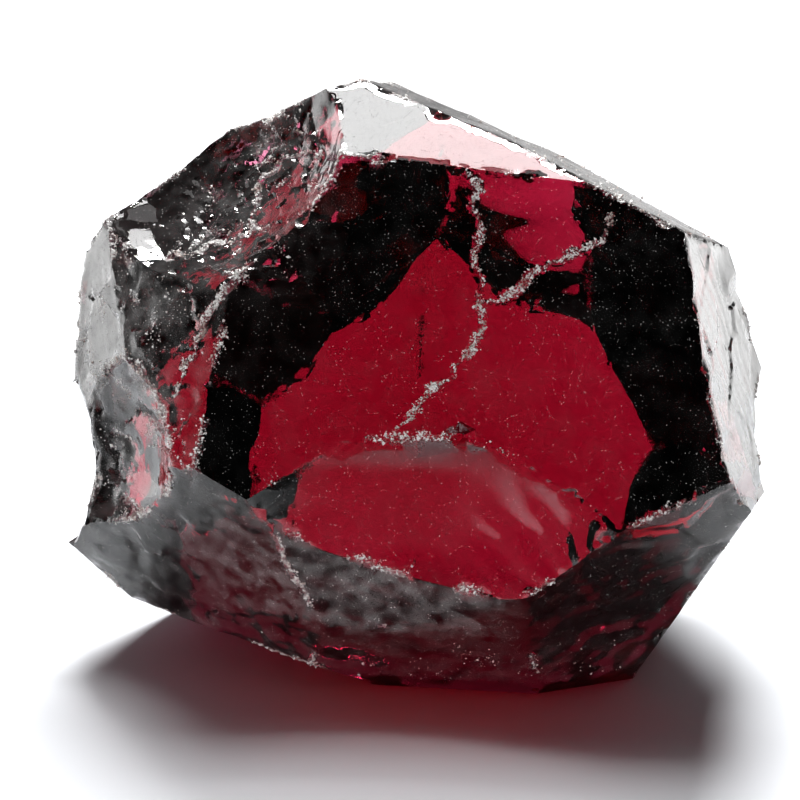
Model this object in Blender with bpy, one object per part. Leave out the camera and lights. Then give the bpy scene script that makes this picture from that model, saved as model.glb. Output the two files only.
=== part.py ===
"""A broken piece of clear red garnet, about 18 mm wide, resting on one of its faces.

The stone is one solid.  It starts as a block.  The fractures that broke it out of its rock
are cutters, taken away from the block one after another: almost flat ones, and curved
conchoidal scars with faint rings.  Last, the sharp ridges between them are nibbled by chips.
"""

import math
import random

import bmesh
import bpy
from mathutils import Matrix, Vector

NAME = "garnet_crystal"
MM = 0.001

# Driving dimensions, in millimetres and degrees.  Each fracture is placed from one point
# inside the stone, its heart, which lies this high above the resting face.
HEART_HEIGHT = 7.5
BLOCK_SIZE = 30.0            # the block that the fractures are cut from
GRAIN = 0.45                 # length of the small faces that make up a curved scar
CUTTER_REACH = 12.0          # how far a cutter stands out of the stone

# Flat fractures: name, azimuth it looks to (0 = +X, 270 = towards the viewer at -Y),
# elevation it looks to, distance from the heart.
FLAT_FRACTURES = (
    ("resting_face", 0, -90, 7.5),
    ("top_bevel", 273, 72, 6.74),
    ("roof_right", 38, 64, 6.64),
    ("roof_end", 34, 57, 6.52),
    ("upper_left", 227, 44, 6.35),
    ("left_front", 226, 28, 6.1),
    ("left_flank", 202, 11, 7.25),
    ("left_foot", 212, -40, 8.8),
    ("left_sole", 228, -62, 7.9),
    ("lower_left", 240, -24, 6.5),
    ("front_foot", 263, -33, 6.75),
    ("lower_right", 289, -30, 7.7),
    ("right_undercut", 341, -30, 9.4),
    ("back_window_left", 95, -22, 6.0),
    ("back_window_right", 72, -22, 6.1),
    ("back_left", 118, 7, 5.3),
    ("back_shoulder", 138, 36, 7.1),
    ("back_side", 136, -12, 6.4),
    ("back_right", 35, 8, 7.0),
    ("back_roof_left", 120, 55, 6.9),
    ("back_roof_right", 75, 42, 6.8),
    ("back_foot_left", 162, -36, 9.2),
    ("back_foot_right", 20, -30, 8.8),
    ("far_left", 165, 10, 9.35),
    ("far_right", 12, -2, 9.1),
)

# Conchoidal scars: name, azimuth, elevation and distance of their deepest point from the
# heart, radius of curvature, height of the rings and spacing of the rings.
SCARS = (
    ("front", 265, 27, 4.4, 60, 0.02, 2.2),
    ("right_side", 346, 16, 8.7, 40, 0.05, 1.3),
    ("front_underside", 259, -21, 6.1, 30, 0.02, 1.6),
    ("lower_front", 268, 1, 4.86, 11, 0.02, 2.4),
    ("shoulder", 196, 52, 5.6, 6.0, 0.04, 1.3),
    ("left_bite", 182, -12, 8.0, 4.2, 0.04, 1.2),
    ("left_step", 204, -3, 6.75, 5.0, 0.04, 1.1),
    ("left_crest", 200, 27, 6.95, 5.5, 0.04, 1.1),
    ("roof_shell", 52, 56, 6.5, 14, 0.04, 1.3),
    ("right_step", 354, -6, 8.95, 7, 0.04, 1.1),
    ("back_shell", 60, 5, 6.3, 13, 0.03, 1.5),
    ("back_hollow", 112, 14, 4.9, 11, 0.03, 1.4),
    ("back_heel", 100, -40, 6.7, 12, 0.03, 1.5),
)

# Chips along the ridges.
RIDGE_ANGLE = 28.0           # a ridge sharper than this is nibbled
CHIP_SPACING = 1.3
CHIP_RADIUS = (0.14, 0.34)
CHIP_LENGTH = (1.0, 1.7)     # length along the ridge, in radii
CHIP_LIFT = (0.35, 0.75)     # how far the middle of a chip lies outside the ridge, in radii
CHIP_SEED = 7

GARNET_RED = (0.20, 0.004, 0.012, 1.0)
GARNET_ROUGHNESS = 0.06


def direction(azimuth, elevation):
    """Unit vector for an azimuth and an elevation in degrees."""
    turn = math.radians(azimuth)
    lift = math.radians(elevation)
    return Vector((math.cos(turn) * math.cos(lift), math.sin(turn) * math.cos(lift), math.sin(lift)))


def facing(azimuth, elevation, distance):
    """Matrix whose +Z looks along the direction, with its origin that far from the heart."""
    normal = direction(azimuth, elevation)
    place = Vector((0, 0, HEART_HEIGHT)) + normal * distance
    upright = normal.to_track_quat("Z", "Y").to_matrix().to_4x4()
    return Matrix.Translation(place * MM) @ upright


def new_collection(name):
    """Collection linked to the scene."""
    collection = bpy.data.collections.new(name)
    bpy.context.scene.collection.children.link(collection)
    return collection


def new_object(name, bm, collection, matrix=Matrix.Identity(4)):
    """Object made from a bmesh, which is used up."""
    bmesh.ops.recalc_face_normals(bm, faces=bm.faces)
    mesh = bpy.data.meshes.new(name)
    bm.to_mesh(mesh)
    bm.free()
    thing = bpy.data.objects.new(name, mesh)
    thing.matrix_world = matrix
    collection.objects.link(thing)
    return thing


def rough_block(collection):
    """Block bounded by the flat fractures, each cut as a plane and closed again."""
    bm = bmesh.new()
    bmesh.ops.create_cube(bm, size=BLOCK_SIZE * MM)
    bmesh.ops.translate(bm, vec=Vector((0, 0, HEART_HEIGHT * MM)), verts=bm.verts)
    for _, azimuth, elevation, distance in FLAT_FRACTURES:
        plane = facing(azimuth, elevation, distance)
        cut = bmesh.ops.bisect_plane(
            bm,
            geom=bm.verts[:] + bm.edges[:] + bm.faces[:],
            plane_co=plane.translation,
            plane_no=plane.to_3x3() @ Vector((0, 0, 1)),
            clear_outer=True,
        )
        rim = [item for item in cut["geom_cut"] if isinstance(item, bmesh.types.BMEdge)]
        bmesh.ops.edgenet_fill(bm, edges=rim)
    return new_object(NAME, bm, collection)


def scar_cutter(collection, name, azimuth, elevation, distance, radius, ring_height, ring_spacing):
    """Cutter with a bulging, ringed face towards the heart.

    Its rings are centred on a point on its upper rim, where the blow fell.
    """
    half = min(0.65 * radius, 0.45 * BLOCK_SIZE)
    count = max(8, round(2 * half / GRAIN))
    strike = Vector((0, 0.8 * half))
    bm = bmesh.new()
    bmesh.ops.create_grid(bm, x_segments=count, y_segments=count, size=half)
    for vert in bm.verts:
        away = vert.co.xy.length
        bulge = radius - math.sqrt(radius**2 - away**2)
        ring = math.cos(2 * math.pi * (vert.co.xy - strike).length / ring_spacing)
        vert.co.z = bulge + ring_height * ring
    shell = bmesh.ops.extrude_face_region(bm, geom=bm.faces[:])
    lid = [item for item in shell["geom"] if isinstance(item, bmesh.types.BMVert)]
    for vert in lid:
        vert.co.z = CUTTER_REACH
    bmesh.ops.scale(bm, vec=(MM, MM, MM), verts=bm.verts)
    cutter = new_object(f"scar_{name}", bm, collection, facing(azimuth, elevation, distance))
    return as_cutter(cutter)


def as_cutter(cutter):
    """Show an object as a wire guide only."""
    cutter.hide_render = True
    cutter.display_type = "WIRE"
    return cutter


def cut_away(body, cutter, solver="EXACT"):
    """Boolean difference that stays on the body as a modifier."""
    cut = body.modifiers.new(cutter.name, "BOOLEAN")
    cut.operation = "DIFFERENCE"
    cut.solver = solver
    cut.object = cutter


def evaluated_mesh(body):
    """The body's mesh with its modifiers, as a bmesh."""
    graph = bpy.context.evaluated_depsgraph_get()
    bm = bmesh.new()
    bm.from_object(body, graph)
    return bm


def ridge_chips(body):
    """Place, direction along the ridge and direction out of the stone of each chip."""
    draw = random.Random(CHIP_SEED)
    bm = evaluated_mesh(body)
    chips = []
    for edge in bm.edges:
        if not edge.is_manifold or edge.calc_face_angle() < math.radians(RIDGE_ANGLE):
            continue
        start, end = (vert.co for vert in edge.verts)
        outward = sum((face.normal for face in edge.link_faces), Vector()).normalized()
        for _ in range(math.ceil(edge.calc_length() / (CHIP_SPACING * MM))):
            spot = start.lerp(end, draw.random())
            clear = all((spot - chip[0]).length > CHIP_SPACING * MM for chip in chips)
            if clear and spot.z > CHIP_SPACING * MM:
                chips.append((spot, (end - start).normalized(), outward))
    bm.free()
    return chips


def chip_cutter(body, collection):
    """All the chips: small rough balls drawn out along the ridge, clear of each other."""
    draw = random.Random(CHIP_SEED)
    bm = bmesh.new()
    for spot, along, outward in ridge_chips(body):
        radius = draw.uniform(*CHIP_RADIUS) * MM
        length = draw.uniform(*CHIP_LENGTH)
        across = outward.cross(along)
        turn = Matrix((along, across, outward)).transposed().to_4x4()
        place = Matrix.Translation(spot + outward * radius * draw.uniform(*CHIP_LIFT))
        tumble = Matrix.Rotation(draw.uniform(0, math.tau), 4, "X")
        bmesh.ops.create_icosphere(
            bm,
            subdivisions=1,
            radius=radius,
            matrix=place @ turn @ Matrix.Diagonal((length, 1, 1, 1)) @ tumble,
        )
    return as_cutter(new_object("ridge_chips", bm, collection))


def garnet_material():
    """Clear dark red stone."""
    material = bpy.data.materials.new("garnet")
    material.use_nodes = True
    shader = material.node_tree.nodes["Principled BSDF"]
    shader.inputs["Base Color"].default_value = GARNET_RED
    shader.inputs["Roughness"].default_value = GARNET_ROUGHNESS
    shader.inputs["Metallic"].default_value = 0.0
    material.diffuse_color = GARNET_RED
    return material


def weld_and_shade(body):
    """Merge hairline gaps left by the cuts, and keep the ridges crisp."""
    weld = body.modifiers.new("weld", "WELD")
    weld.merge_threshold = 0.00001
    body.data.shade_smooth()
    body.data.set_sharp_from_angle(angle=math.radians(RIDGE_ANGLE))


def stand_on_origin(body, collection):
    """Hang the stone and its cutters on an empty so that its base is centred on the origin."""
    bm = evaluated_mesh(body)
    low = Vector(min(vert.co[axis] for vert in bm.verts) for axis in range(3))
    high = Vector(max(vert.co[axis] for vert in bm.verts) for axis in range(3))
    bm.free()
    base = bpy.data.objects.new("stone_base", None)
    collection.objects.link(base)
    for thing in [body] + [cut.object for cut in body.modifiers if cut.type == "BOOLEAN"]:
        thing.parent = base
    base.location = (-(low.x + high.x) / 2, -(low.y + high.y) / 2, -low.z)


def build():
    """Clear the scene and make the garnet."""
    for thing in list(bpy.data.objects):
        bpy.data.objects.remove(thing, do_unlink=True)
    pieces = new_collection(NAME)
    cutters = new_collection("cutters")
    stone = rough_block(pieces)
    stone.data.materials.append(garnet_material())
    for scar in SCARS:
        cut_away(stone, scar_cutter(cutters, *scar))
    cut_away(stone, chip_cutter(stone, cutters), solver="MANIFOLD")
    weld_and_shade(stone)
    stand_on_origin(stone, pieces)


build()
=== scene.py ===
# %% [markdown]
# # A broken piece of clear garnet
# The object is a rough garnet crystal, about 18 mm wide, that was broken out of a larger one. It is
# clear dark red inside, and outside it is all fracture: a few big flat breaks, smaller shell-shaped
# scars, crushed white ridges and a film of fine dust. The solid model gives the outline and the
# facets. This file gives the stone its fine relief, its crushed grains, its glass and its light.

# %% Load the solid model
import math

import bpy
import numpy as np
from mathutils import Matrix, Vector, noise
from mathutils.bvhtree import BVHTree
from mathutils.kdtree import KDTree


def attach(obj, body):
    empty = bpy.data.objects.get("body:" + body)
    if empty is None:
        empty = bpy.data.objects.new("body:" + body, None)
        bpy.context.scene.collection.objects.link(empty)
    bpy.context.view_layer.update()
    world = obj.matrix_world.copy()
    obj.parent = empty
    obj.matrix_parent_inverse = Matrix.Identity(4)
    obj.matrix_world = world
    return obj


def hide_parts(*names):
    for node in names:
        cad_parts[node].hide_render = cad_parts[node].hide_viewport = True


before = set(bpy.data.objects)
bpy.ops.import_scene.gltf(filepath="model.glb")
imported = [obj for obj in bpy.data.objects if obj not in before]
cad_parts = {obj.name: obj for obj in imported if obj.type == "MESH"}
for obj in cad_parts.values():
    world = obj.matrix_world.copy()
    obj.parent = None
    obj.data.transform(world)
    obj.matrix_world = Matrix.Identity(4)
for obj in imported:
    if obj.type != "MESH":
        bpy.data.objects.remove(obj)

MM = 0.001
NOISE_SEED = 7                 # without a seed, noise vectors would start from the clock

noise.seed_set(NOISE_SEED)
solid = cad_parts["garnet_crystal"]
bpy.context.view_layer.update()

# %% [markdown]
# ## Where the camera stands
# A small stone is pictured from far off with a long lens, because a close wide lens would swell its
# nearest facets. The camera looks down 25 degrees, so that the big front fracture, the lit bevel on
# top and the shadow on the table are all seen.

# %% Camera
SIGHT_POINT = Vector((-0.326, 0.001, 6.55)) * MM
SIGHT_DISTANCE = 170 * MM
LOOK_DOWN = math.radians(25)

bpy.ops.object.camera_add(
    location=SIGHT_POINT + SIGHT_DISTANCE * Vector((0, -math.cos(LOOK_DOWN), math.sin(LOOK_DOWN))),
    rotation=(math.radians(90) - LOOK_DOWN, 0, 0),
)
camera = bpy.context.object
camera.data.lens = 300
camera.data.clip_start = 10 * MM
bpy.context.scene.camera = camera
print("camera is", round(camera.location.length / MM), "mm from the origin")

# %% [markdown]
# ## A copy to work on
# The solid model itself is never touched. All the fine work is done on a copy of its mesh, and the
# copy's points are merged first, because its triangles are loose. Three helpers stand in for the
# clicks by hand: pick one object, apply a modifier, and run an edit-mode operator on chosen points.

# %% Helpers for one object at a time
def pick_only(thing):
    """Select this object alone and make it active."""
    bpy.ops.object.select_all(action="DESELECT")
    thing.select_set(True)
    bpy.context.view_layer.objects.active = thing


def use_modifier(thing, kind, **settings):
    """Add a modifier, set it and apply it."""
    pick_only(thing)
    modifier = thing.modifiers.new(kind.lower(), kind)
    for name, value in settings.items():
        setattr(modifier, name, value)
    bpy.ops.object.modifier_apply(modifier=modifier.name)


def edit(thing, chosen, operator, **settings):
    """Run one edit-mode operator on the chosen points, given as one True or False a point."""
    pick_only(thing)
    bpy.context.tool_settings.mesh_select_mode = (True, False, False)
    mesh = thing.data
    mesh.polygons.foreach_set("select", np.zeros(len(mesh.polygons), bool))
    mesh.edges.foreach_set("select", np.zeros(len(mesh.edges), bool))
    mesh.vertices.foreach_set("select", chosen)
    bpy.ops.object.mode_set(mode="EDIT")
    operator(**settings)
    bpy.ops.object.mode_set(mode="OBJECT")


# %% Copy and merge the solid's mesh
stone = bpy.data.objects.new("garnet", solid.data.copy())
bpy.context.scene.collection.objects.link(stone)
edit(stone, np.ones(len(stone.data.vertices), bool), bpy.ops.mesh.remove_doubles, threshold=1e-6)
print("merged copy:", len(stone.data.vertices), "points")

# %% [markdown]
# ## Remember where the ridges are
# Most of the finish follows the ridges: they are nibbled and crushed, and the faces between them are
# smooth. The ridges are the edges where two facets meet at more than 20 degrees. They are stored as
# a row of points, in a tree that finds the nearest one quickly.

# %% Ridge points
RIDGE_ANGLE = math.radians(20)
RIDGE_STEP = 0.05 * MM


def ridge_points(mesh):
    """Points along every edge where the surface turns by more than RIDGE_ANGLE."""
    faces_at = {}
    for face in mesh.polygons:
        for key in face.edge_keys:
            faces_at.setdefault(key, []).append(face.normal)
    points = []
    for (first, last), normals in faces_at.items():
        if len(normals) == 2 and normals[0].angle(normals[1], 0) > RIDGE_ANGLE:
            start, end = mesh.vertices[first].co, mesh.vertices[last].co
            steps = max(1, round((end - start).length / RIDGE_STEP))
            points += [start.lerp(end, step / steps) for step in range(steps + 1)]
    return points


def tree_of(points):
    """A search tree over the points."""
    tree = KDTree(len(points))
    for index, point in enumerate(points):
        tree.insert(point, index)
    tree.balance()
    return tree


ridges = ridge_points(stone.data)
ridge_tree = tree_of(ridges)
surface = BVHTree.FromPolygons(
    [point.co for point in stone.data.vertices],
    [face.vertices for face in stone.data.polygons],
)
print("ridge points:", len(ridges))

# %% [markdown]
# ## Draw the healed crack
# A crack crosses the big front face. It left a low crumbled seam, with a branch to the right, and
# there are two more lines of bruises at the left. All are drawn as seen from the front, by distance
# to the right and height, and dropped on the stone.

# %% Crack lines
SEAM = ((1.3, 13.8), (1.6, 13.4), (1.4, 13.0), (1.7, 12.5), (1.5, 11.9), (1.7, 10.9), (1.6, 10.2),
        (1.0, 9.2), (0.2, 8.7), (-0.3, 7.9))
BRANCH = ((1.7, 10.7), (2.1, 10.8), (2.6, 11.2), (3.0, 11.6), (4.0, 12.1), (4.7, 12.4), (4.9, 13.0))
SHOULDER_EDGE = ((-6.2, 10.8), (-5.2, 11.1), (-4.0, 11.6), (-3.9, 12.2), (-3.2, 13.0), (-2.2, 13.6))
LEFT_RIDGE = ((-4.2, 11.5), (-4.8, 10.7), (-5.5, 9.4), (-5.9, 8.3))
SEAM_STEP = 0.03               # from one point of a line to the next, in millimetres
SEAM_BENDS = (0.5, 0.15)       # sizes of the bends in a line
BEND_DEPTH = 0.3               # how far a bend swings out, as a part of its size


def on_front(corners):
    """Points on the front of the stone along a jagged line through the corners, in millimetres."""
    points = []
    for (x0, z0), (x1, z1) in zip(corners, corners[1:]):
        steps = math.ceil(math.hypot(x1 - x0, z1 - z0) / SEAM_STEP)
        for step in range(steps):
            x, z = x0 + (x1 - x0) * step / steps, z0 + (z1 - z0) * step / steps
            jag = Vector((0, 0, 0))
            for size in SEAM_BENDS:
                jag += noise.noise_vector(Vector((x, 0, z)) / size) * BEND_DEPTH * size
            in_front = Vector((x + jag.x, -20, z + jag.z)) * MM
            points.append(surface.ray_cast(in_front, Vector((0, 1, 0)))[0])
    return points


seam_points = []
for line in (SEAM, BRANCH, SHOULDER_EDGE, LEFT_RIDGE):
    seam_points += on_front(line)
seam_tree = tree_of(seam_points)
print("seam points:", len(seam_points))

# %% [markdown]
# ## An even net over the stone
# The copy's facets are a few large triangles and many slivers, and fine relief needs points
# everywhere, close together. Subdividing would keep the slivers. A Remesh modifier in Sharp mode lays
# an even net of small squares over the same shape instead, and keeps the ridges between the facets.

# %% Lay the net
use_modifier(stone, "REMESH", mode="SHARP", octree_depth=7, scale=0.9, use_remove_disconnected=False)
print("net:", len(stone.data.vertices), "points")

# %% [markdown]
# ## Finer net where the relief is fine
# The shoulder at the upper left, the two flanks, the ridges and the seam carry the smallest chips, so
# the net is divided once more there. It is left coarse on the flat faces, where a finer one would
# only add triangles. A place is given as a centre and a radius in millimetres.

# %% Measuring helpers
def positions(thing):
    """The object's points as rows of x, y and z in millimetres."""
    flat = np.empty(len(thing.data.vertices) * 3)
    thing.data.vertices.foreach_get("co", flat)
    return flat.reshape(-1, 3) / MM


def distance_to(tree, points):
    """Distance in millimetres from each point to the nearest point of the tree."""
    return np.array([tree.find(Vector(point) * MM)[2] for point in points]) / MM


def fade(values, start, end):
    """0 before start, 1 after end, and a smooth turn between them. It also runs backwards."""
    t = np.clip((values - start) / (end - start), 0, 1)
    return t * t * (3 - 2 * t)


def around(points, centre, radius):
    """1 at the centre and 0 from the radius on, in millimetres."""
    return fade(np.linalg.norm(points - np.array(centre), axis=1), radius, radius * 0.5)


# %% Divide the net where the relief is fine
SHOULDER = ((-4.0, -0.5, 12.2), 3.4)
LEFT_FLANK = ((-8.0, -1.2, 8.0), 3.8)
RIGHT_FLANK = ((8.0, -3.5, 9.5), 3.8)
TOP_BEVEL = ((0.9, -0.8, 14.3), 3.2)
NEAR_RIDGE = 0.2
NEAR_SEAM = 0.3

spots = positions(stone)
fine = distance_to(ridge_tree, spots) < NEAR_RIDGE
fine |= distance_to(seam_tree, spots) < NEAR_SEAM
for place in (SHOULDER, LEFT_FLANK, RIGHT_FLANK):
    fine |= around(spots, *place) > 0.1
edit(stone, fine, bpy.ops.mesh.subdivide, number_cuts=1)
print("divided net:", len(stone.data.vertices), "points")

# %% [markdown]
# ## Smooth the scars, keep the ridges
# A curved scar in the solid is made of small flat faces. On glass these would flash like a mirror
# ball. A Smooth modifier with a vertex group rounds them. The group is 0 on the ridges, so that they
# stay sharp, and on the flat top bevel, which has nothing to round. The long scar on the right flank
# has the widest faces, so it gets a second, stronger round.

# %% Smooth between the ridges
def vertex_group(thing, name, weights):
    """Store one weight a point as a vertex group."""
    group = thing.vertex_groups.new(name=name)
    for index, weight in enumerate(weights):
        if weight > 0.001:
            group.add([index], float(weight), "REPLACE")


spots = positions(stone)
from_ridge = distance_to(ridge_tree, spots)
scars = fade(from_ridge, 0.05, 0.35) * (1 - around(spots, *TOP_BEVEL))
long_scar = fade(from_ridge, 0.1, 0.4) * around(spots, *RIGHT_FLANK)
vertex_group(stone, "scars", scars)
use_modifier(stone, "SMOOTH", factor=0.5, iterations=14, vertex_group="scars")
vertex_group(stone, "long_scar", long_scar)
use_modifier(stone, "SMOOTH", factor=0.8, iterations=200, vertex_group="long_scar")
print("points kept sharp:", int((from_ridge < 0.05).sum()))

# %% [markdown]
# ## Relief
# A displacement modifier could push the surface with a noise texture, but each feature here has its
# own place, so the points are pushed along their normals in code. Every feature is a field: one
# height in millimetres for each point, times a mask that says where it belongs.

# %% Fields
def normals_of(thing):
    """The points' normals as rows."""
    flat = np.empty(len(thing.data.vertices) * 3)
    thing.data.vertex_normals.foreach_get("vector", flat)
    return flat.reshape(-1, 3)


def clouds(points, size):
    """Soft lumps of about this size, from -1 to 1."""
    return np.array([noise.noise(Vector(point) / size) for point in points])


def chips(points, size):
    """Small flat breaks of about this size, each with its own tilt and depth."""
    heights = []
    for point in points:
        here = Vector(point) / size
        centre = noise.voronoi(here)[1][0]
        tilt = noise.noise_vector(centre * 7.3)
        heights.append(tilt.dot(here - centre) + 0.6 * noise.noise(centre * 11.1))
    return np.array(heights)


def rings(points, strike, spacing):
    """Ripples round a strike point, as a blow leaves them in glass."""
    away = np.linalg.norm(points - np.array(strike), axis=1)
    away += 0.25 * clouds(points, 1.3)
    return np.sin(away * 2 * math.pi / spacing)


def push(thing, heights):
    """Move every point along its normal by its height in millimetres."""
    moved = positions(thing) + normals_of(thing) * heights[:, None]
    thing.data.vertices.foreach_set("co", (moved * MM).ravel())
    thing.data.update()


# %% Masks
def facing(turn, lift, spread):
    """1 where aims point that way and 0 from the spread on. turn 0 is right and 270 is front."""
    turn, lift = math.radians(turn), math.radians(lift)
    way = (math.cos(turn) * math.cos(lift), math.sin(turn) * math.cos(lift), math.sin(lift))
    apart = np.degrees(np.arccos(np.clip(aims @ np.array(way), -1, 1)))
    return fade(apart, spread, spread * 0.6)


spots, aims = positions(stone), normals_of(stone)
from_ridge = distance_to(ridge_tree, spots)
from_seam = distance_to(seam_tree, spots)
open_face = fade(from_ridge, 0.08, 0.5)
shoulder = around(spots, *SHOULDER)
left = around(spots, *LEFT_FLANK)
right = around(spots, *RIGHT_FLANK) * facing(0, 15, 60)
front_left = facing(226, 28, 16)
roof = facing(40, 62, 16)
bevel = facing(273, 72, 10)
low_left = facing(240, -24, 14)
low_right = facing(289, -30, 16)
foot = fade(spots[:, 2], 2.6, 1.6) * facing(263, -33, 30)
lens = facing(259, -21, 22) * fade(spots[:, 2], 2.0, 2.6) * around(spots, (-1.5, -4.8, 3.3), 5)
shell_wall = around(spots, (3.0, -5.7, 5.4), 2.0)
print("points on the shoulder:", int((shoulder > 0).sum()))

# %% [markdown]
# The features, in the order of the code: soft waves and a fine ripple on every fracture; chips, large
# and small, on the broken shoulder, the flaked flanks and the low facets; shell-like rings; hackle,
# which is the fan of grooves where a break ran fast; the crumbled seam; and the ridges, nibbled in
# stretches. The resting face stays flat.

# %% Fields of relief
CHIPPED = (        # where, size and depth in millimetres
    (shoulder, 0.65, 0.13),
    (shoulder, 0.3, 0.06),
    (left * open_face, 1.5, 0.18),
    (left * open_face, 0.5, 0.02),
    (front_left * open_face, 1.1, 0.16),
    (right * open_face, 1.4, 0.07),
    (low_left * open_face, 1.2, 0.10),
    (low_left * open_face, 0.4, 0.03),
    (low_right * open_face, 1.5, 0.16),
    (low_right * open_face, 0.5, 0.02),
    (foot * open_face, 1.2, 0.05),
    (foot * open_face, 0.4, 0.02),
    (bevel, 0.5, 0.004),
)
RINGED = (         # where, strike point, spacing and depth in millimetres
    (left * open_face, (-7.5, 2, 12.5), 0.8, 0.008),
    (front_left * open_face, (-4, -2, 12), 0.5, 0.006),
    (right * open_face, (7.5, -12, 9), 0.45, 0.003),
    (roof, (-3, 9, 12), 0.5, 0.006),
    (lens, (1.5, -5, 7.5), 0.28, 0.006),
)
HACKLE_ORIGIN = (4.6, 3.2)     # where the fan of grooves starts, as x and z in millimetres
HACKLE_GROOVES = 22            # in a full turn round its origin
HACKLE_DEPTH = 0.02
RESTING_EDGE = 0.15            # below this height in millimetres nothing is pushed

# %% Push the relief
height = open_face * (0.006 * clouds(spots, 1.7) + 0.0015 * clouds(spots, 0.45))
for where, size, depth in CHIPPED:
    height += where * depth * chips(spots, size)
for where, strike, spacing, depth in RINGED:
    height += where * depth * rings(spots, strike, spacing)
fan = np.arctan2(spots[:, 2] - HACKLE_ORIGIN[1], spots[:, 0] - HACKLE_ORIGIN[0])
height += shell_wall * HACKLE_DEPTH * np.sin(fan * HACKLE_GROOVES + 2 * clouds(spots, 1.0))
seam_width = 0.05 + 0.15 * fade(clouds(spots, 0.45), -0.2, 0.4)
on_seam = fade(from_seam / seam_width, 1.0, 0.2)
height += 0.10 * on_seam * chips(spots, 0.17)
nibbled = fade(clouds(spots, 1.4), -0.35, 0.25)
nibbled *= 1 - 0.6 * around(spots, *TOP_BEVEL)
height -= 0.09 * fade(from_ridge, 0.16, 0.0) * nibbled * (0.6 + chips(spots, 0.3))
height[spots[:, 2] < RESTING_EDGE] = 0
push(stone, height)
print("relief, mm:", round(float(height.min()), 3), "to", round(float(height.max()), 3))

# %% [markdown]
# ## Remember where the stone is crushed and where it is dusty
# Garnet is brittle, so its ridges and seams are bruised to a white powder of tiny splinters. The
# amount at each point, from 0 to 1, is stored in the mesh as an attribute, which the materials and
# the grains both read. It could be painted by hand, but from the masks it fits the relief exactly.

# %% Crushed and dusty
def remember(thing, name, values):
    """Store one value a point as an attribute of the mesh."""
    thing.data.attributes.new(name, "FLOAT", "POINT").data.foreach_set("value", values)


patches = fade(clouds(spots, 0.8), -0.05, 0.35)
stretches = fade(clouds(spots, 1.3), -0.1, 0.3)
crushed = np.maximum.reduce([
    fade(from_ridge, 0.15, 0.02) * stretches,
    1.3 * on_seam,
    0.6 * shoulder * patches * fade(clouds(spots, 0.3), -0.1, 0.3),
    0.35 * left * patches,
    0.25 * front_left * patches,
    0.20 * foot * patches,
    0.15 * roof * patches,
])
dusty = 0.05 + 1.1 * lens + 0.6 * roof + 0.3 * foot
dusty += 0.3 * front_left + 0.2 * shoulder + 0.4 * left + 0.15 * low_left
dusty = np.clip(dusty * (1 + clouds(spots, 1.2)), 0, 1)
for name, values in (("crushed", crushed), ("dusty", dusty)):
    remember(stone, name, np.where(spots[:, 2] < RESTING_EDGE, 0, values))
print("crushed points:", int((crushed > 0.3).sum()))

# %% Shade by angle
SHARP_ANGLE = math.radians(30)

pick_only(stone)
bpy.ops.object.shade_smooth_by_angle(angle=SHARP_ANGLE)

# %% [markdown]
# ## Glass
# Garnet is a clear stone with a refractive index of 1.76. Its colour isn't on its surface but in its
# depth: a Volume Absorption shader takes green and blue away with every millimetre, so thin corners
# are pink and thick parts are nearly black. Where the stone is crushed its surface is rough. Such an
# effect is kept in a node group, with only values coming out of it, and the shader stays outside.

# %% Material helpers
WHITE = (1, 1, 1, 1)


def new_material(name):
    """A material with its node tree, its Principled shader and its output."""
    material = bpy.data.materials.new(name)
    material.use_nodes = True
    nodes = material.node_tree.nodes
    return material, nodes, nodes["Principled BSDF"], nodes["Material Output"]


def new_group(name, *sockets):
    """A shader node group that puts out a value for each socket's name, and its output node."""
    tree = bpy.data.node_groups.new(name, "ShaderNodeTree")
    for socket in sockets:
        tree.interface.new_socket(socket, in_out="OUTPUT", socket_type="NodeSocketFloat")
    return tree, tree.nodes.new("NodeGroupOutput")


def add_node(tree, kind, operation=None, **values):
    """A node with its input values set by name. An underscore in a name stands for a space."""
    node = tree.nodes.new("ShaderNode" + kind)
    if operation:
        node.operation = operation
    for name, value in values.items():
        node.inputs[name.replace("_", " ")].default_value = value
    return node


def stored(tree, name):
    """The value of an attribute stored on the mesh."""
    node = tree.nodes.new("ShaderNodeAttribute")
    node.attribute_name = name
    return node.outputs["Fac"]


def mapped(tree, value, start, end, low, high):
    """The value mapped smoothly from start..end to low..high."""
    node = add_node(tree, "MapRange", From_Min=start, From_Max=end, To_Min=low, To_Max=high)
    node.interpolation_type = "SMOOTHSTEP"
    tree.links.new(value, node.inputs["Value"])
    return node.outputs["Result"]


def grain(tree, size, detail=2.0):
    """Noise with lumps of this size, in millimetres, from 0 to 1."""
    node = add_node(tree, "TexNoise", Scale=1 / (size * MM), Detail=detail)
    tree.links.new(tree.nodes.new("ShaderNodeTexCoord").outputs["Object"], node.inputs["Vector"])
    return node.outputs["Fac"]


def combine(tree, operation, first, second):
    """Two values put together by a Math node. Either may be a number."""
    node = add_node(tree, "Math", operation)
    for socket, value in zip(node.inputs, (first, second)):
        if isinstance(value, float):
            socket.default_value = value
        else:
            tree.links.new(value, socket)
    return node.outputs["Value"]


def place_group(tree, group):
    """A node that stands for the group in this material."""
    node = tree.nodes.new("ShaderNodeGroup")
    node.node_tree = group
    return node


# %% Garnet material
GARNET_IOR = 1.76
GARNET_TINT = (0.88, 0.59, 0.70, 1)
GARNET_DENSITY = 1500          # for each metre, so 1.5 for each millimetre
BRUISE_DEPTH = 0.02 * MM


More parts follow.
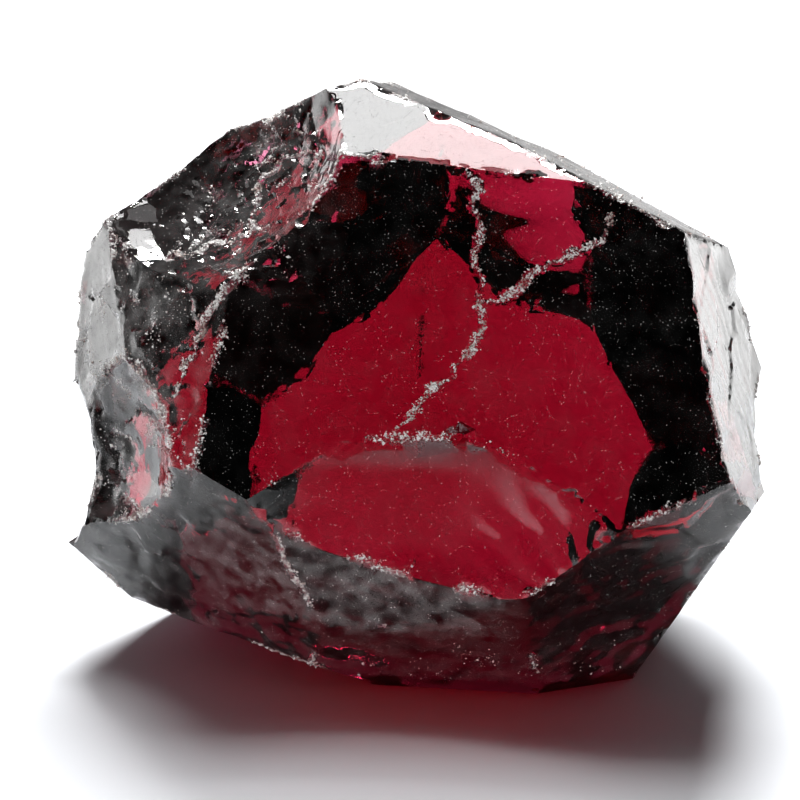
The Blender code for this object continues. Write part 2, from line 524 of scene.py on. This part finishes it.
def bruise_group():
    """Roughness and fine height where the stone is crushed."""
    tree, out = new_group("bruise", "Roughness", "Height")
    speckle = mapped(tree, grain(tree, 0.07), 0.35, 0.65, 0.0, 1.0)
    crush = combine(tree, "MULTIPLY", stored(tree, "crushed"), combine(tree, "ADD", speckle, 0.4))
    tree.links.new(mapped(tree, crush, 0.05, 0.9, 0.02, 0.55), out.inputs["Roughness"])
    deep = combine(tree, "MULTIPLY", stored(tree, "crushed"), grain(tree, 0.05))
    fine = combine(tree, "MULTIPLY", grain(tree, 0.2), 0.03)
    tree.links.new(combine(tree, "ADD", deep, fine), out.inputs["Height"])
    return tree


garnet, nodes, shader, output = new_material("garnet")
links = garnet.node_tree.links
shader.inputs["Base Color"].default_value = WHITE
shader.inputs["Transmission Weight"].default_value = 1.0
shader.inputs["IOR"].default_value = GARNET_IOR
absorption = add_node(garnet.node_tree, "VolumeAbsorption", Color=GARNET_TINT, Density=GARNET_DENSITY)
links.new(absorption.outputs["Volume"], output.inputs["Volume"])
bruise = place_group(garnet.node_tree, bruise_group())
relief = add_node(garnet.node_tree, "Bump", Distance=BRUISE_DEPTH)
links.new(bruise.outputs["Roughness"], shader.inputs["Roughness"])
links.new(bruise.outputs["Height"], relief.inputs["Height"])
links.new(relief.outputs["Normal"], shader.inputs["Normal"])
stone.data.materials.clear()
stone.data.materials.append(garnet)

# %% The finished stone
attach(stone, "root")
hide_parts("garnet_crystal")
print("garnet:", len(stone.data.polygons), "faces")

# %% [markdown]
# ## Crushed grains
# The white crumbs on the ridges, the seam and the shoulder are real splinters, 0.03 to 0.15 mm long,
# that catch the light from above. There are thousands of them, so they are built as one joined mesh
# from arrays: places drawn at random on the stone, denser where it is crushed, and at each place an
# eight-faced splinter with its own size, stretch and turn.

# %% Helpers for the grains
def places_on(thing, weights, count, draw):
    """Random places on the faces of the thing, in millimetres, denser where the weights are high."""
    mesh = thing.data
    area, middle = np.empty(len(mesh.polygons)), np.empty(len(mesh.polygons) * 3)
    mesh.polygons.foreach_get("area", area)
    mesh.polygons.foreach_get("center", middle)
    first = np.array([face.vertices[0] for face in mesh.polygons])
    chance = area * weights[first]
    picked = draw.choice(len(area), count, p=chance / chance.sum())
    middle = middle.reshape(-1, 3)[picked] / MM
    along = positions(thing)[first[picked]] - middle
    across = np.cross(normals_of(thing)[first[picked]], along)
    near = middle + along * draw.uniform(-0.9, 0.9, (count, 1))
    return near + across * draw.uniform(-0.9, 0.9, (count, 1))


def turns(count, draw):
    """Random rotation matrices."""
    quarters = draw.normal(size=(4, count))
    w, x, y, z = quarters / np.linalg.norm(quarters, axis=0)
    rows = [1 - 2 * (y * y + z * z), 2 * (x * y - w * z), 2 * (x * z + w * y),
            2 * (x * y + w * z), 1 - 2 * (x * x + z * z), 2 * (y * z - w * x),
            2 * (x * z - w * y), 2 * (y * z + w * x), 1 - 2 * (x * x + y * y)]
    return np.stack(rows, axis=1).reshape(-1, 3, 3)


def splinters(name, places, sizes, draw):
    """One mesh of eight-faced splinters at these places."""
    corners = np.array([(1, 0, 0), (-1, 0, 0), (0, 1, 0), (0, -1, 0), (0, 0, 1), (0, 0, -1)])
    sides = np.array([(0, 2, 4), (2, 1, 4), (1, 3, 4), (3, 0, 4),
                      (2, 0, 5), (1, 2, 5), (3, 1, 5), (0, 3, 5)])
    count = len(places)
    shapes = corners * draw.uniform(0.35, 1.0, (count, 6, 1)) * draw.uniform(0.45, 1.0, (count, 1, 3))
    shapes = np.einsum("nij,nkj->nki", turns(count, draw), shapes) * sizes[:, None, None]
    points = (shapes + places[:, None, :]).reshape(-1, 3) * MM
    faces = (sides + 6 * np.arange(count)[:, None, None]).reshape(-1, 3)
    mesh = bpy.data.meshes.new(name)
    mesh.from_pydata(points.tolist(), [], faces.tolist())
    thing = bpy.data.objects.new(name, mesh)
    bpy.context.scene.collection.objects.link(thing)
    return thing


# %% Scatter the grains
CRUMBS = 14000
CRUMB_SIZE = 0.036             # half a usual crumb's length, in millimetres
BIGGEST_CRUMB = 0.11
SPECKS = 5000
SPECK_SIZES = (0.010, 0.018)
LOWEST_GRAIN = 0.3             # height in millimetres under which there are no grains

draw = np.random.default_rng(11)
clear_of_table = spots[:, 2] >= LOWEST_GRAIN
crumbs = places_on(stone, np.where(clear_of_table, crushed**2, 0), CRUMBS, draw)
specks = places_on(stone, np.where(clear_of_table, 0.3 + dusty, 0), SPECKS, draw)
crumb_sizes = draw.lognormal(math.log(CRUMB_SIZE), 0.5, CRUMBS)
speck_sizes = draw.uniform(*SPECK_SIZES, SPECKS)
sizes = np.clip(np.concatenate([crumb_sizes, speck_sizes]), 0, BIGGEST_CRUMB)
grit = splinters("crushed_grains", np.concatenate([crumbs, specks]), sizes, draw)
print("grains:", len(grit.data.polygons) // 8)

# %% Grain material
TAN = (0.55, 0.44, 0.40, 1)
CHALK = (0.95, 0.94, 0.92, 1)

powder, nodes, shader, output = new_material("crushed_garnet")
tree = powder.node_tree
tint = tree.nodes.new("ShaderNodeValToRGB")
for stop, position, color in zip(tint.color_ramp.elements, (0.35, 0.50), (TAN, CHALK)):
    stop.position, stop.color = position, color
tree.links.new(grain(tree, 0.3), tint.inputs["Fac"])
tree.links.new(tint.outputs["Color"], shader.inputs["Base Color"])
shader.inputs["Roughness"].default_value = 0.35
grit.data.materials.append(powder)
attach(grit, "root")

# %% [markdown]
# ## Dust
# A film of fine dust lies on the fractures, thickest on the lens-shaped scar low in front. It is a
# skin over the stone, a hundredth of a millimetre off it, with a dull pale material whose alpha is
# low: a faint haze, and in it specks of a few hundredths of a millimetre.

# %% Dust film
DUST_GAP = 0.012               # from the stone to the film, in millimetres
LOWEST_DUST = 0.4

film = bpy.data.objects.new("dust_film", stone.data.copy())
bpy.context.scene.collection.objects.link(film)
edit(film, spots[:, 2] < LOWEST_DUST, bpy.ops.mesh.delete, type="VERT")
push(film, np.full(len(film.data.vertices), DUST_GAP))
print("dust film:", len(film.data.polygons), "faces")

# %% Dust material
SPECK_SPACING = 0.085 * MM


def dust_group():
    """How much dust covers the surface: haze and specks."""
    tree, out = new_group("dust", "Cover")
    cloudy = mapped(tree, grain(tree, 0.5, 4.0), 0.3, 0.75, 0.0, 0.28)
    haze = combine(tree, "MULTIPLY", cloudy, stored(tree, "dusty"))
    cells = add_node(tree, "TexVoronoi", Scale=1 / SPECK_SPACING)
    tree.links.new(tree.nodes.new("ShaderNodeTexCoord").outputs["Object"], cells.inputs["Vector"])
    round_specks = mapped(tree, cells.outputs["Distance"], 0.08, 0.20, 0.7, 0.0)
    in_patches = mapped(tree, grain(tree, 0.25, 5.0), 0.42, 0.62, 0.0, 1.0)
    specks = combine(tree, "MULTIPLY", round_specks, in_patches)
    tree.links.new(combine(tree, "ADD", haze, specks), out.inputs["Cover"])
    return tree


dust, nodes, shader, output = new_material("dust")
shader.inputs["Base Color"].default_value = (0.90, 0.88, 0.87, 1)
shader.inputs["Roughness"].default_value = 0.9
cover = place_group(dust.node_tree, dust_group())
dust.node_tree.links.new(cover.outputs["Cover"], shader.inputs["Alpha"])
film.data.materials.clear()
film.data.materials.append(dust)
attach(film, "root")

# %% [markdown]
# ## Table
# The stone lies on a round sheet of plain white paper that fades into the white room round it. A
# sheet with a hard rim would show a horizon in low views. Here the paper's shader is mixed with a
# Transparent shader by the distance from the middle.

# %% Paper
PAPER_SOLID = 16 * MM
PAPER_END = 40 * MM

bpy.ops.object.select_all(action="DESELECT")
bpy.ops.mesh.primitive_circle_add(vertices=96, radius=PAPER_END, fill_type="NGON")
table = bpy.context.object
table.name = "table"
paper, nodes, shader, output = new_material("white_paper")
links = paper.node_tree.links
shader.inputs["Base Color"].default_value = (0.87, 0.89, 0.92, 1)
shader.inputs["Roughness"].default_value = 0.8
shader.inputs["Specular IOR Level"].default_value = 0.2
place = nodes.new("ShaderNodeTexCoord").outputs["Object"]
from_middle = add_node(paper.node_tree, "VectorMath", "LENGTH")
links.new(place, from_middle.inputs[0])
rim = mapped(paper.node_tree, from_middle.outputs["Value"], PAPER_SOLID, PAPER_END, 0.0, 1.0)
beyond = nodes.new("ShaderNodeBsdfTransparent")
blend = nodes.new("ShaderNodeMixShader")
links.new(rim, blend.inputs["Fac"])
links.new(shader.outputs["BSDF"], blend.inputs[1])
links.new(beyond.outputs["BSDF"], blend.inputs[2])
links.new(blend.outputs["Shader"], output.inputs["Surface"])
table.data.materials.append(paper)
print("paper is", round(2 * PAPER_END / MM), "mm across")

# %% [markdown]
# ## Light
# A soft lamp stands behind the stone and above it, so the shadow falls towards the camera and the
# red light that passes through the stone lands in it. A dimmer panel higher up is what the top bevel
# mirrors.

# %% Lamps
def soft_lamp(name, turn, height, distance, size, energy):
    """A lamp aimed at the stone. turn is from straight behind towards the left, in degrees."""
    turn, height = math.radians(turn), math.radians(height)
    flat = math.cos(height)
    way = Vector((-flat * math.sin(turn), flat * math.cos(turn), math.sin(height)))
    bpy.ops.object.light_add(type="AREA", location=way * distance)
    lamp = bpy.context.object
    lamp.name = name
    lamp.rotation_euler = way.to_track_quat("Z", "Y").to_euler()
    lamp.data.shape = "RECTANGLE"
    lamp.data.size, lamp.data.size_y = size
    lamp.data.energy = energy
    lamp.visible_camera = False
    print(name, "is", round(size[0] / MM), "mm wide")
    return lamp


soft_lamp("key_lamp", -4, 55, 110 * MM, (60 * MM, 19 * MM), 0.14)
soft_lamp("top_panel", -6, 65, 150 * MM, (60 * MM, 30 * MM), 0.037)
soft_lamp("overhead", 0, 86, 120 * MM, (50 * MM, 50 * MM), 0.008)

# %% [markdown]
# The grains and the dust face the dark side of the room, and would go grey there. A small lamp in
# front lights them alone, by light linking, so the stone keeps its dark front. The paper has a fill
# lamp of its own overhead, which keeps the shadow deep only close under the stone.

# %% Lamps for the grains and the paper
def light_only(lamp, things):
    """Let the lamp light these objects and nothing else."""
    lit = bpy.data.collections.new(lamp.name + "_lights")
    for thing in things:
        lit.objects.link(thing)
    lamp.light_linking.receiver_collection = lit


grain_light = soft_lamp("grain_light", 160, 42, 200 * MM, (60 * MM, 60 * MM), 0.12)
light_only(grain_light, (grit, film))
paper_light = soft_lamp("paper_light", 0, 78, 120 * MM, (50 * MM, 50 * MM), 0.055)
light_only(paper_light, (table,))

# %% [markdown]
# ## The room
# Glass shows what is around it. The room is bright low down behind the stone and at its sides, where
# the steep facets mirror it, dimmer straight behind, which the stone bends into its front windows,
# and dark in front, so the front facets show the inside of the stone and not a reflection. The
# camera itself sees plain white behind the table.

# %% Room
scene = bpy.context.scene
room = bpy.data.worlds.new("room")
scene.world = room
room.use_nodes = True
nodes, links = room.node_tree.nodes, room.node_tree.links
split = nodes.new("ShaderNodeSeparateXYZ")
links.new(nodes.new("ShaderNodeTexCoord").outputs["Generated"], split.inputs["Vector"])
to_the_back, up = split.outputs["Y"], split.outputs["Z"]
behind = mapped(room.node_tree, to_the_back, -0.3, 0.4, 0.08, 2.4)
straight = mapped(room.node_tree, to_the_back, 0.80, 0.97, 1.0, 0.15)
low_down = mapped(room.node_tree, up, -0.02, 0.16, 1.0, 0.10)
strength = combine(room.node_tree, "MULTIPLY", behind, straight)
strength = combine(room.node_tree, "MULTIPLY", strength, low_down)
glow, backdrop = nodes["Background"], nodes.new("ShaderNodeBackground")
glow.inputs["Color"].default_value = WHITE
backdrop.inputs["Color"].default_value = WHITE
links.new(strength, glow.inputs["Strength"])
seen = nodes.new("ShaderNodeLightPath")
mix = nodes.new("ShaderNodeMixShader")
links.new(seen.outputs["Is Camera Ray"], mix.inputs["Fac"])
links.new(glow.outputs["Background"], mix.inputs[1])
links.new(backdrop.outputs["Background"], mix.inputs[2])
links.new(mix.outputs["Shader"], nodes["World Output"].inputs["Surface"])

# %% Light bounces and tones
BOUNCES = 14                   # light turns back many times inside a glass with so many facets

scene.cycles.max_bounces = BOUNCES
scene.cycles.transmission_bounces = BOUNCES
scene.view_settings.view_transform = "Standard"
scene.view_settings.look = "Medium High Contrast"
